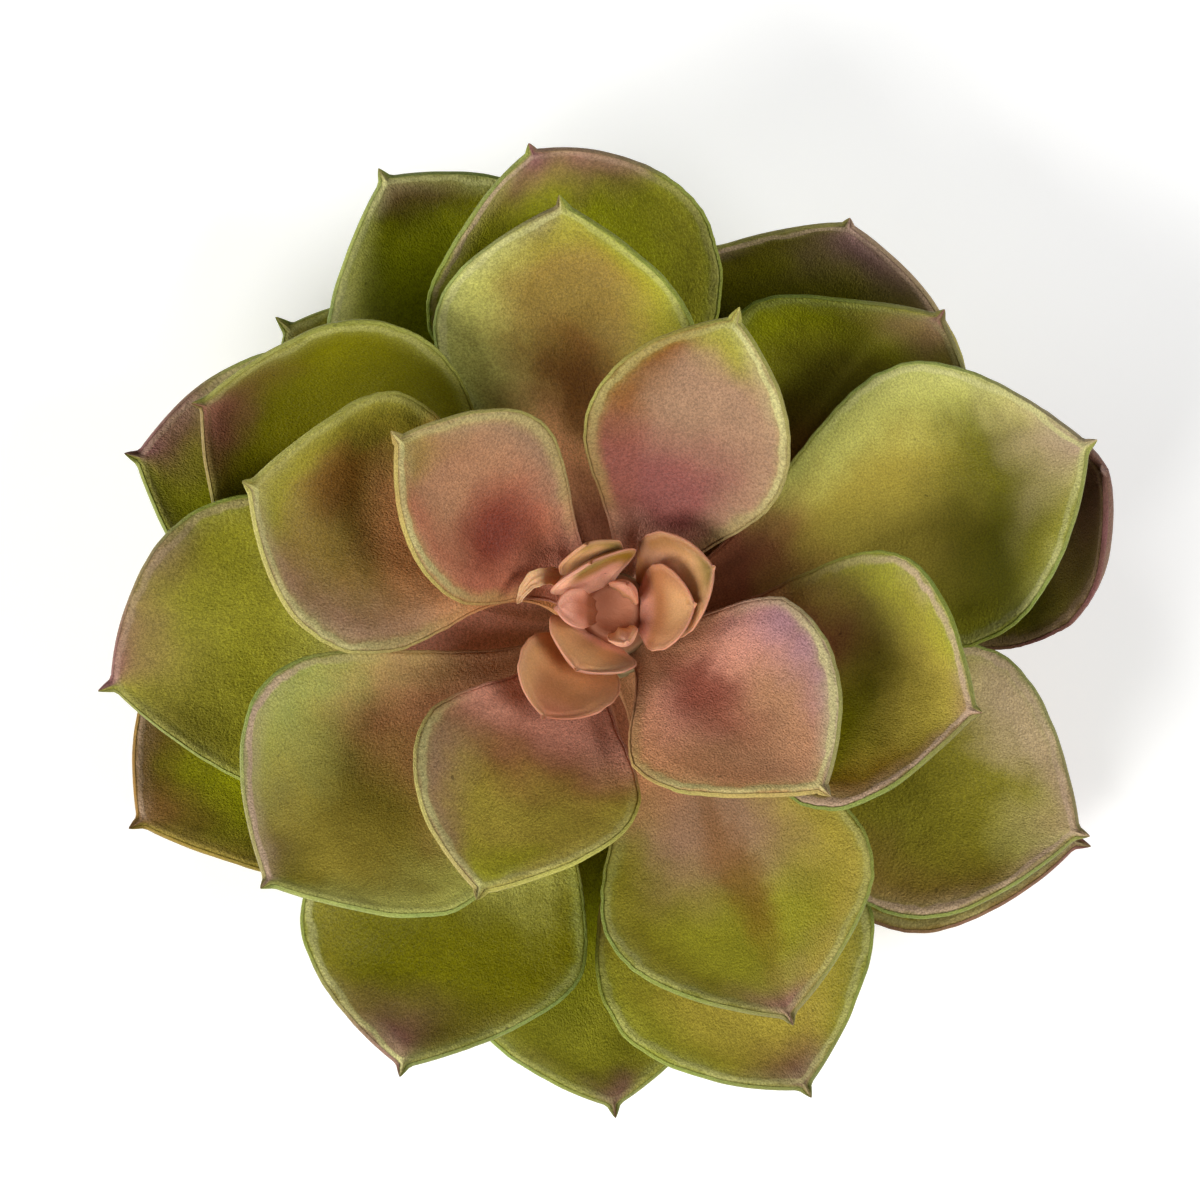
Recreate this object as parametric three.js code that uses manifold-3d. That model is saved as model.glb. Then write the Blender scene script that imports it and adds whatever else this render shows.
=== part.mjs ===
// Lipstick echeveria, cut from its root: a loose rosette of spoon-shaped leaves round a short, thick stem.
// Every leaf is a piece of its own, seated on the stem by a narrow foot. Ten small bud leaves close the heart.
// Millimetres, +Z up. The origin is the centre of the stem's cut end, which rests on the ground.
import * as THREE from "three";
import { mergeVertices } from "three/addons/utils/BufferGeometryUtils.js";
import Module from "manifold-3d";

// ---- Driving dimensions ----

// Stem: [radius, height] up its side, from the cut end to the growing tip.
const STEM_PROFILE = [
  [0, 0],
  [9.2, 0],
  [10.4, 1.2],
  [10.8, 6],
  [10.2, 14],
  [9, 22],
  [7.8, 30],
  [7.2, 36],
  [6.4, 40],
  [4.8, 43.2],
  [2.4, 44.6],
  [0, 45],
];
const STEM_SIDES = 24;

const SEAT_GAP = 0.3; // between a leaf's foot and the stem

// Shape shared by the leaves of one kind. Widths and thicknesses are whole ones. widestAt and flareFrom
// are shares of the length; shoulder and apex are the powers by which the outline closes to the tip.
const BLADE = {
  bite: 3, // how far inside the stem's surface a foot starts before it is cut to its seat
  footWidth: 8, // at the stem
  footThickness: 4.4,
  thickness: 3.8, // on the midrib, where the blade is widest
  marginThickness: 2.6,
  flareFrom: 0.08,
  widestAt: 0.67,
  shoulder: 2.2,
  apex: 0.88,
  thornLength: 2.6,
  thornWidth: 1.8,
  cup: 0.3, // height of the margin above the midrib, as a share of the half width
  roll: 0,
  stations: [0, 0.09, 0.18, 0.27, 0.36, 0.45, 0.54, 0.63, 0.72, 0.8, 0.87, 0.93, 0.97, 1],
  topAcross: [-1, -0.84, -0.52, 0, 0.52, 0.84, 1],
  underAcross: [1, 0.6, 0, -0.6, -1],
};
const YOUNG_BLADE = { ...BLADE, footThickness: 4, widestAt: 0.61 };
const BUD = {
  bite: 1.2,
  footWidth: 3.6,
  footThickness: 2.4,
  thickness: 2.2,
  marginThickness: 1.4,
  flareFrom: -0.1,
  widestAt: 0.6,
  shoulder: 2.4,
  apex: 0.6,
  thornLength: 1,
  thornWidth: 0.9,
  cup: 0.4,
  roll: 0,
  stations: [0, 0.14, 0.28, 0.42, 0.56, 0.7, 0.82, 0.91, 0.97, 1],
  topAcross: [-1, -0.6, 0, 0.6, 1],
  underAcross: [1, 0.5, -0.5, -1],
};

// The three bud leaves that stand packed behind one another, and the one that is only a narrow strap.
const THIN = { footThickness: 2, thickness: 1.8, marginThickness: 1.2 };
const STRAP = { footWidth: 2, width: 3, footThickness: 1.2, thickness: 1.3, marginThickness: 0.9 };

const CUP_POWER = 2.3;
const BELLY_AT = 0.42; // where the pitch turns from the foot's to the tip's
const ROLLED_BY = 0.4; // the share of the length over which a leaf takes up its roll

// One row a leaf. The ranks run from the ground up, and so do the rows of each.
// turn: compass angle of the leaf, seen from above, anticlockwise from +X, in degrees.
// seat: height of its foot on the stem. pitch: its slope at the foot, the belly and the tip, in degrees.
// roll: lifts its left margin, seen from the stem. sway: how far it has turned anticlockwise from its foot's
// heading at half its length and at its tip, in degrees. Anything else in a row replaces the kind's own value.
const LEAVES = {
  skirt: [
    { turn: 133, seat: 4, length: 64, width: 38, pitch: [0, 0, 14], sway: [4, 8] },
    { turn: 331, seat: 5, length: 74, width: 48, pitch: [-2, 0, 18], sway: [5, 10] },
    { turn: 16.5, seat: 8, length: 88, width: 42, pitch: [2, 4, 78], sway: [-2, 6], apex: 0.55 },
    { turn: 264, seat: 6, length: 68, width: 46, pitch: [-2, 0, 20], sway: [7, 14] },
    { turn: 193, seat: 5.8, length: 74.6, width: 46, pitch: [0, 0, 24], sway: [10, 22] },
    { turn: 153, seat: 8.6, length: 74, width: 46, pitch: [6, 6, 26], sway: [8, 18] },
    { turn: 51, seat: 11.6, length: 71, width: 56, pitch: [14, 7, 50], sway: [8, 23], apex: 0.7 },
    { turn: 112.5, seat: 11.4, length: 74.4, width: 48, pitch: [14, 10, 34], sway: [5, 12] },
  ],
  lower: [
    { turn: 332, seat: 16, length: 75, width: 46, pitch: [12, 4, 28], sway: [3, 8] },
    { turn: 288, seat: 13, length: 73, width: 46, pitch: [4, 4, 26], sway: [5, 10] },
    { turn: 236, seat: 14, length: 71.4, width: 46.6, pitch: [6, 4, 26], sway: [9, 22] },
    { turn: 179.5, seat: 20.4, length: 75, width: 47, pitch: [32, 8, 13], roll: -8, sway: [7, 23] },
    { turn: 141, seat: 16.4, length: 71.2, width: 53, pitch: [26, 17, 36], roll: -29, sway: [12, 31],
      flareFrom: 0.14 },
    { turn: 38, seat: 17.4, length: 67.2, width: 49, pitch: [16, 10, 44], sway: [4, 12] },
    { turn: 95, seat: 20, length: 72.4, width: 48, pitch: [20, 13, 44], sway: [3, 18], apex: 0.62 },
  ],
  middle: [
    { turn: 17, seat: 23, length: 76.4, width: 46, pitch: [26, 12, 34], sway: [2, 4] },
    { turn: 297, seat: 21, length: 66, width: 44, pitch: [20, 16, 32], sway: [-5, -6] },
    { turn: 214, seat: 25.2, length: 68.4, width: 48, pitch: [28, 19, 36], sway: [6, 11] },
    { turn: 97, seat: 24.6, length: 63.4, width: 43.6, pitch: [28, 22, 40], roll: -19, sway: [0, 0] },
    { turn: 148, seat: 28.4, length: 63.2, width: 42, pitch: [34, 28, 44], sway: [25, 14] },
    { turn: 342.5, seat: 27, length: 62, width: 42, pitch: [34, 28, 44], sway: [0, 0] },
  ],
  inner: [
    { turn: 241, seat: 30, length: 53.6, width: 36.4, pitch: [42, 36, 34], sway: [5, 11] },
    { turn: 62, seat: 31, length: 53.4, width: 33, pitch: [50, 40, 34], sway: [6, 6] },
    { turn: 322, seat: 33, length: 50.4, width: 36.2, pitch: [52, 42, 32], sway: [-4, -12], widestAt: 0.54 },
    { turn: 141, seat: 34, length: 46.4, width: 31.6, pitch: [44, 42, 38], roll: 8, sway: [5, 2] },
  ],
  bud: [
    { turn: 236, seat: 36, length: 19, width: 17, pitch: [60, 48, 24], sway: [2, 6] },
    { turn: 23, seat: 37, length: 18, width: 17.2, pitch: [65, 58, 38], sway: [-3, -6] },
    { turn: 140, seat: 38.7, length: 18, pitch: [46, 58, 26], sway: [46, 108], ...STRAP },
    { turn: 113, seat: 39, length: 15.8, width: 11, pitch: [63, 73, 80], sway: [0, 0],
      cup: 0.08, flareFrom: 0.05, ...THIN },
    { turn: 0, seat: 41.2, length: 12.8, width: 14, pitch: [66, 57, 36], sway: [0, 4] },
    { turn: 117, seat: 42.2, length: 11, width: 15, pitch: [62, 72, 84], sway: [0, 0], cup: 0.05, ...THIN },
    { turn: 240, seat: 41, length: 8.8, width: 15.6, pitch: [58, 52, 36], sway: [0, 0] },
    { turn: 181, seat: 43.4, length: 8.4, width: 6.2, pitch: [66, 60, 34], sway: [0, 6] },
    { turn: 292, seat: 43, length: 7, width: 5, pitch: [74, 72, 70], sway: [0, 0] },
    { turn: 54, seat: 43, length: 7.4, width: 5.6, pitch: [86, 86, 84], sway: [0, 0], ...THIN },
  ],
};
const KINDS = { skirt: BLADE, lower: BLADE, middle: BLADE, inner: YOUNG_BLADE, bud: BUD };

// ---- Colours ----

const COLOURS = {
  skirt: 0x6f7a22,
  lower: 0x7d8531,
  middle: 0x9a8a4a,
  inner: 0xa9705c,
  bud: 0xc58a68,
  stem: 0x9a8a5c,
};

// ---- Solids ----

const wasm = await Module();
wasm.setup();

// A closed geometry as a solid that can be cut.
function solidOf(geometry) {
  const bare = new THREE.BufferGeometry();
  bare.setAttribute("position", geometry.getAttribute("position"));
  bare.setIndex(geometry.index);
  const merged = mergeVertices(bare, 1e-4);
  return new wasm.Manifold(
    new wasm.Mesh({
      numProp: 3,
      vertProperties: new Float32Array(merged.attributes.position.array),
      triVerts: new Uint32Array(merged.index.array),
    }),
  );
}

function geometryOf(solid) {
  const mesh = solid.getMesh();
  const geometry = new THREE.BufferGeometry();
  geometry.setAttribute("position", new THREE.BufferAttribute(mesh.vertProperties, 3));
  geometry.setIndex(new THREE.BufferAttribute(mesh.triVerts, 1));
  geometry.computeVertexNormals();
  return geometry;
}

// The stem, or with a margin the space that it and its seats' gap take up.
function stemGeometry(margin) {
  const profile = STEM_PROFILE.map(([radius, height]) => {
    return new THREE.Vector2(radius === 0 ? 0 : radius + margin, height === 0 ? -margin : height + margin);
  });
  const geometry = new THREE.LatheGeometry(profile, STEM_SIDES);
  geometry.rotateX(Math.PI / 2);
  return geometry;
}

function stemRadiusAt(height) {
  const above = STEM_PROFILE.findIndex(([, h], i) => i > 1 && h >= height);
  const [r0, h0] = STEM_PROFILE[above - 1];
  const [r1, h1] = STEM_PROFILE[above];
  return THREE.MathUtils.mapLinear(height, h0, h1, r0, r1);
}

// ---- Leaf shape ----

const smooth = (x) => THREE.MathUtils.smoothstep(x, 0, 1);
const mix = THREE.MathUtils.lerp;
const radians = THREE.MathUtils.degToRad;

// Half the leaf's width at a share u of its length.
function halfWidthAt(u, leaf) {
  if (u < leaf.widestAt) {
    const flare = smooth((u - leaf.flareFrom) / (leaf.widestAt - leaf.flareFrom));
    return mix(leaf.footWidth, leaf.width, flare) / 2;
  }
  const beyond = (u - leaf.widestAt) / (1 - leaf.widestAt);
  const closing = Math.pow(1 - Math.pow(beyond, leaf.shoulder), leaf.apex);
  return Math.max(leaf.width * closing, leaf.thornWidth) / 2;
}

// Half the thickness at u along and v across, from -1 on the right margin to 1 on the left.
function halfThicknessAt(u, v, leaf) {
  const middle = mix(leaf.footThickness, leaf.thickness, smooth(u / leaf.widestAt));
  const towardsTip = smooth((u - leaf.widestAt) / (1 - leaf.widestAt));
  const rib = mix(middle, leaf.marginThickness, towardsTip);
  return mix(leaf.marginThickness, rib, 1 - v * v) / 2;
}

function pitchAt(u, [foot, belly, tip]) {
  if (u < BELLY_AT) return mix(foot, belly, smooth(u / BELLY_AT));
  return mix(belly, tip, smooth((u - BELLY_AT) / (1 - BELLY_AT)));
}

function swayAt(u, [middle, tip]) {
  return u < 0.5 ? mix(0, middle, smooth(u / 0.5)) : mix(middle, tip, smooth((u - 0.5) / 0.5));
}

// The midrib as points with the directions along, to the left of and out of the leaf.
function midribFrames(leaf) {
  const steps = 200;
  const point = new THREE.Vector3(stemRadiusAt(leaf.seat) - leaf.bite, 0, leaf.seat);
  const length = leaf.length + leaf.bite;
  const frames = [];
  let done = 0;
  for (const u of leaf.stations) {
    for (; done < Math.round(u * steps); done++) {
      const at = (done + 0.5) / steps;
      point.addScaledVector(directionAt(at, leaf), length / steps);
    }
    const along = directionAt(u, leaf);
    const heading = radians(swayAt(u, leaf.sway));
    const level = new THREE.Vector3(-Math.sin(heading), Math.cos(heading), 0);
    const rise = along.clone().cross(level);
    const roll = radians(leaf.roll * smooth(u / ROLLED_BY));
    const left = level.clone().multiplyScalar(Math.cos(roll)).addScaledVector(rise, Math.sin(roll));
    const out = rise.clone().multiplyScalar(Math.cos(roll)).addScaledVector(level, -Math.sin(roll));
    frames.push({ u, point: point.clone(), along, left, out });
  }
  return frames;
}

function directionAt(u, leaf) {
  const pitch = radians(pitchAt(u, leaf.pitch));
  const heading = radians(swayAt(u, leaf.sway));
  return new THREE.Vector3(
    Math.cos(pitch) * Math.cos(heading),
    Math.cos(pitch) * Math.sin(heading),
    Math.sin(pitch),
  );
}

// One point of the leaf's skin: v across, side 1 on the upper face and -1 under it.
function skinPoint(frame, v, side, halfWidth, leaf) {
  const cup = leaf.cup * halfWidth * Math.pow(Math.abs(v), CUP_POWER);
  const slope = leaf.cup * CUP_POWER * Math.pow(Math.abs(v), CUP_POWER - 1) * Math.sign(v);
  const reach = (side * halfThicknessAt(frame.u, v, leaf)) / Math.hypot(1, slope);
  return frame.point
    .clone()
    .addScaledVector(frame.left, halfWidth * v - slope * reach)
    .addScaledVector(frame.out, cup + reach);
}

// A closed skin lofted through rings of points, with a point beyond the last ring as the thorn's end.
function loft(rings, end) {
  const around = rings[0].length;
  const points = [...rings.flat(), end];
  const faces = [];
  for (let i = 1; i < around - 1; i++) faces.push([0, i, i + 1]);
  for (let r = 0; r + 1 < rings.length; r++) {
    for (let i = 0; i < around; i++) {
      const a = r * around + i;
      const b = r * around + ((i + 1) % around);
      faces.push([a, b + around, b], [a, a + around, b + around]);
    }
  }
  const last = (rings.length - 1) * around;
  for (let i = 0; i < around; i++) faces.push([last + ((i + 1) % around), last + i, points.length - 1]);
  const geometry = new THREE.BufferGeometry();
  geometry.setAttribute("position", new THREE.Float32BufferAttribute(points.flatMap((p) => p.toArray()), 3));
  geometry.setIndex(faces.flat());
  return geometry;
}

function leafSolid(leaf) {
  const frames = midribFrames(leaf);
  const rings = frames.map((frame) => {
    const halfWidth = halfWidthAt(frame.u, leaf);
    const top = leaf.topAcross.map((v) => skinPoint(frame, v, 1, halfWidth, leaf));
    const under = leaf.underAcross.map((v) => skinPoint(frame, v, -1, halfWidth, leaf));
    return [...top, ...under];
  });
  const tip = frames[frames.length - 1];
  const thorn = tip.point
    .clone()
    .addScaledVector(tip.along, leaf.thornLength)
    .addScaledVector(tip.out, leaf.marginThickness / 2);
  const geometry = loft(rings, thorn);
  geometry.rotateZ(radians(leaf.turn));
  return solidOf(geometry);
}

// ---- The object ----

function add(group, name, geometry, colour, roughness) {
  const material = new THREE.MeshStandardMaterial({ color: colour, roughness, metalness: 0 });
  const mesh = new THREE.Mesh(geometry, material);
  mesh.name = name;
  group.add(mesh);
}

const plant = new THREE.Group();
plant.name = "lipstick_echeveria";

add(plant, "stem", stemGeometry(0), COLOURS.stem, 0.8);

const seatSpace = solidOf(stemGeometry(SEAT_GAP));
for (const [rank, leaves] of Object.entries(LEAVES)) {
  leaves.forEach((row, i) => {
    const solid = leafSolid({ ...KINDS[rank], ...row }).subtract(seatSpace);
    add(plant, `${rank}_leaf_${i + 1}`, geometryOf(solid), COLOURS[rank], 0.6);
  });
}

export default plant;
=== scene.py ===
"""Lipstick echeveria: the skin, margins and colours of a cut rosette, leaf by leaf, round its short stem."""

import math
import random

import bmesh
import bpy
import numpy as np
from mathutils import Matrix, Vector


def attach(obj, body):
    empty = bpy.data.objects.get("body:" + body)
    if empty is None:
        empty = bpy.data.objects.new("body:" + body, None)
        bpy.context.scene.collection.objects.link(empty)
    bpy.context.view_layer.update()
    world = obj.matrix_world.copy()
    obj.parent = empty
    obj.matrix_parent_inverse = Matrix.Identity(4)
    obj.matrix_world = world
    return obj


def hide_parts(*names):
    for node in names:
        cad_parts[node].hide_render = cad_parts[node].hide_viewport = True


bl_info = {
    "name": "Lipstick Echeveria",
    "version": (1, 0, 0),
    "blender": (4, 5, 0),
    "location": "View3D > Sidebar > Echeveria",
    "description": "Builds the leaves, the heart and the stem of a cut echeveria rosette",
    "category": "Object",
}

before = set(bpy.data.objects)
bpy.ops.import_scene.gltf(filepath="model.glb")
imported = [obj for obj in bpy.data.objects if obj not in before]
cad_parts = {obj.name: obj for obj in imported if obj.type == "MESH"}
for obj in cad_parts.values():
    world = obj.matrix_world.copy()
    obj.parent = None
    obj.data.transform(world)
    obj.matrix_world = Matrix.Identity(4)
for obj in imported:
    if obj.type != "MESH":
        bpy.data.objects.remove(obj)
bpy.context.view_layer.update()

MM = 0.001

# What each point of a leaf knows about its place. ATTR_LEAF runs across from -1 on the right to 1 on the
# left, along from 0 at the foot to 1 at the tip, and from -1 on the under face to 1 on the upper one.
# ATTR_FLAT is the same place in metres, for patterns that keep their size. ATTR_EDGE is millimetres in from
# the margin.
ATTR_LEAF = "leaf_place"
ATTR_FLAT = "leaf_flat"
ATTR_EDGE = "leaf_edge"

# ---- Shape of the stem and the leaves, in millimetres and degrees ----

STEM_PROFILE = (
    (9.2, 0.0),
    (10.4, 1.2),
    (10.8, 6.0),
    (10.2, 14.0),
    (9.0, 22.0),
    (7.8, 30.0),
    (7.2, 36.0),
    (6.4, 40.0),
    (4.8, 43.2),
    (2.4, 44.6),
    (0.0, 45.0),
)

BLADE = {
    "bite": 3.0,
    "foot_width": 8.0,
    "foot_thickness": 4.4,
    "thickness": 3.8,
    "margin": 2.6,
    "flare_from": 0.08,
    "widest_at": 0.67,
    "shoulder": 2.2,
    "apex": 0.88,
    "thorn_length": 2.6,
    "thorn_width": 1.8,
    "cup": 0.3,
    "roll": 0.0,
    "rim_scale": 1.0,
    "ripple": 1.0,
    "ragged": 1.0,
    "edge_share": (0.3, 0.5),
    "taper": (4.5, 2.2),
    "folds": (),
}
YOUNG_BLADE = {**BLADE, "foot_thickness": 4.0, "widest_at": 0.61, "ripple": 0.5}
BUD = {
    "bite": 1.2,
    "foot_width": 3.6,
    "foot_thickness": 2.4,
    "thickness": 2.2,
    "margin": 1.4,
    "flare_from": -0.1,
    "widest_at": 0.6,
    "shoulder": 2.4,
    "apex": 0.6,
    "thorn_length": 1.0,
    "thorn_width": 0.9,
    "cup": 0.4,
    "roll": 0.0,
    "rim_scale": 0.45,
    "ripple": 0.3,
    "ragged": 1.5,
    "edge_share": (0.32, 0.42),
    "taper": (2.2, 1.8),
    "folds": (),
}
THIN = {"foot_thickness": 2.0, "thickness": 1.8, "margin": 1.2}
STRAP = {"foot_width": 2.0, "foot_thickness": 1.2, "thickness": 1.3, "margin": 0.9}

# The hollow crown at the top of the stem, which the smallest buds stand round, as radii and heights.
CROWN = (
    (4.4, 43.6),
    (4.1, 44.1),
    (3.6, 44.2),
    (3.1, 43.9),
    (2.5, 43.3),
    (1.8, 42.8),
    (1.0, 42.5),
    (0.4, 42.4),
)

CUP_POWER = 2.3  # how much of the cupping gathers near the margins
BELLY_AT = 0.42  # share of the length where the middle slope of a leaf holds
ROLLED_BY = 0.4  # share of the length where a leaf has its whole roll

KINDS = {"skirt": BLADE, "lower": BLADE, "middle": BLADE, "inner": YOUNG_BLADE, "bud": BUD}


def row(turn, seat, length, width, pitch, sway, **own):
    """One leaf: compass angle, height of its foot, length, width, slopes at foot, belly and tip, and sway."""
    return {"turn": turn, "seat": seat, "length": length, "width": width, "pitch": pitch, "sway": sway, **own}


LEAVES = {
    "skirt": (
        row(133, 4, 64, 38, (0, 0, 14), (4, 8)),
        row(331, 5, 74, 48, (-2, 0, 18), (5, 10)),
        row(16.5, 8, 88, 42, (2, 4, 78), (-2, 6), apex=0.55),
        row(264, 6, 68, 46, (-2, 0, 20), (7, 14)),
        row(193, 5.8, 74.6, 46, (0, 0, 24), (10, 22)),
        row(153, 8.6, 74, 46, (6, 6, 26), (8, 18)),
        row(51, 11.6, 71, 56, (14, 7, 50), (8, 23), apex=0.7),
        row(112.5, 11.4, 74.4, 48, (14, 10, 34), (5, 12)),
    ),
    "lower": (
        row(332, 16, 75, 46, (12, 4, 28), (3, 8)),
        row(288, 13, 73, 46, (4, 4, 26), (5, 10)),
        row(236, 14, 71.4, 46.6, (6, 4, 26), (9, 22)),
        row(179.5, 20.4, 75, 47, (32, 8, 13), (7, 23), roll=-8),
        row(141, 16.4, 71.2, 53, (26, 17, 36), (12, 31), roll=-29, flare_from=0.14),
        row(38, 17.4, 67.2, 49, (16, 10, 44), (4, 12)),
        row(95, 20, 72.4, 48, (20, 13, 44), (3, 18), apex=0.62),
    ),
    "middle": (
        row(17, 23, 76.4, 46, (26, 12, 34), (2, 4)),
        row(297, 21, 66, 44, (20, 16, 32), (-5, -6), folds=((0.05, 0.7, 0.2, 0.26, 0.9),)),
        row(214, 25.2, 68.4, 48, (28, 19, 36), (6, 11), folds=((-0.1, 0.66, 0.2, 0.2, 0.7),)),
        row(97, 24.6, 63.4, 43.6, (28, 22, 40), (0, 0), roll=-19, folds=((0.0, 0.5, 0.22, 0.2, 0.8),)),
        row(148, 28.4, 63.2, 42, (34, 28, 44), (25, 14)),
        row(342.5, 27, 62, 42, (34, 28, 44), (0, 0)),
    ),
    "inner": (
        row(241, 30, 53.6, 36.4, (42, 36, 34), (5, 11), folds=((0.2, 0.6, 0.2, 0.2, 0.6),)),
        row(62, 31, 53.4, 33, (50, 40, 34), (6, 6)),
        row(322, 33, 50.4, 36.2, (52, 42, 32), (-4, -12), widest_at=0.54,
            folds=((-0.1, 0.58, 0.3, 0.26, 0.5),)),
        row(141, 34, 46.4, 31.6, (44, 42, 38), (5, 2), roll=8, folds=((0.2, 0.55, 0.3, 0.18, 0.8),)),
    ),
    "bud": (
        row(236, 36, 19, 17, (60, 48, 24), (2, 6)),
        row(23, 37, 18, 17.2, (65, 58, 38), (-3, -6)),
        row(140, 38.7, 18, 3, (46, 58, 26), (46, 108), **STRAP),
        row(113, 39, 15.8, 11, (63, 73, 80), (0, 0), cup=0.08, flare_from=0.05, **THIN),
        row(0, 41.2, 12.8, 14, (66, 57, 36), (0, 4)),
        row(117, 42.2, 11, 15, (62, 72, 84), (0, 0), cup=0.05, **THIN),
        row(240, 41, 8.8, 15.6, (58, 52, 36), (0, 0)),
        row(181, 43.4, 8.4, 6.2, (66, 60, 34), (0, 6), ragged=0.5),
        row(292, 43, 7, 5, (74, 72, 70), (0, 0), ragged=0.5),
        row(54, 43, 7.4, 5.6, (86, 86, 84), (0, 0), ragged=0.4, **THIN),
    ),
}

# ---- Colours of the leaves ----


def skin(neck, belly, blade, tip, left, right, neck_end=0.4, belly_end=0.65, **own):
    """Tones of one leaf: along its middle, and on its left and right flanks, and where the first two end."""
    tones = {"neck": neck, "belly": belly, "blade": blade, "tip": tip, "left": left, "right": right}
    ends = {"neck_end": neck_end, "belly_end": belly_end}
    return {**PLAIN_SKIN, **tones, **ends, **own}


def bud_skin(*tones, **own):
    """Tones of a bud leaf, which is smooth and has almost no wax or painted sheen on it."""
    return skin(*tones, **{"rim": "blush", "dust": (0.12, 0.12), "mottle": 0.1, "relief": 0.25, **own})


# What a leaf has where its own row says nothing.
PLAIN_SKIN = {
    "rim": "sage",  # tone of the margin face
    "stain": (0.2, 0.0, 0.12, "mauve"),  # by the tip: how strong, on which side, how far back, and its tone
    # A spot is a patch of one tone; on a few leaves it is painted shade, and on one it is wax with a painted
    # highlight.
    "spot": (0.0, 0.5, 0.4, 0.2, "umber", 0.0),  # place across and along, its radii, tone and how strong
    "dust": (0.5, 0.5),  # wax, with a painted sheen, along the left and the right margin
    "powder": "wax_and_painted_sheen",  # tone of the wax and its painted sheen
    "mottle": 0.32,  # how strongly the skin is speckled
    "relief": 0.8,  # and how strongly it is grained
}

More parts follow.
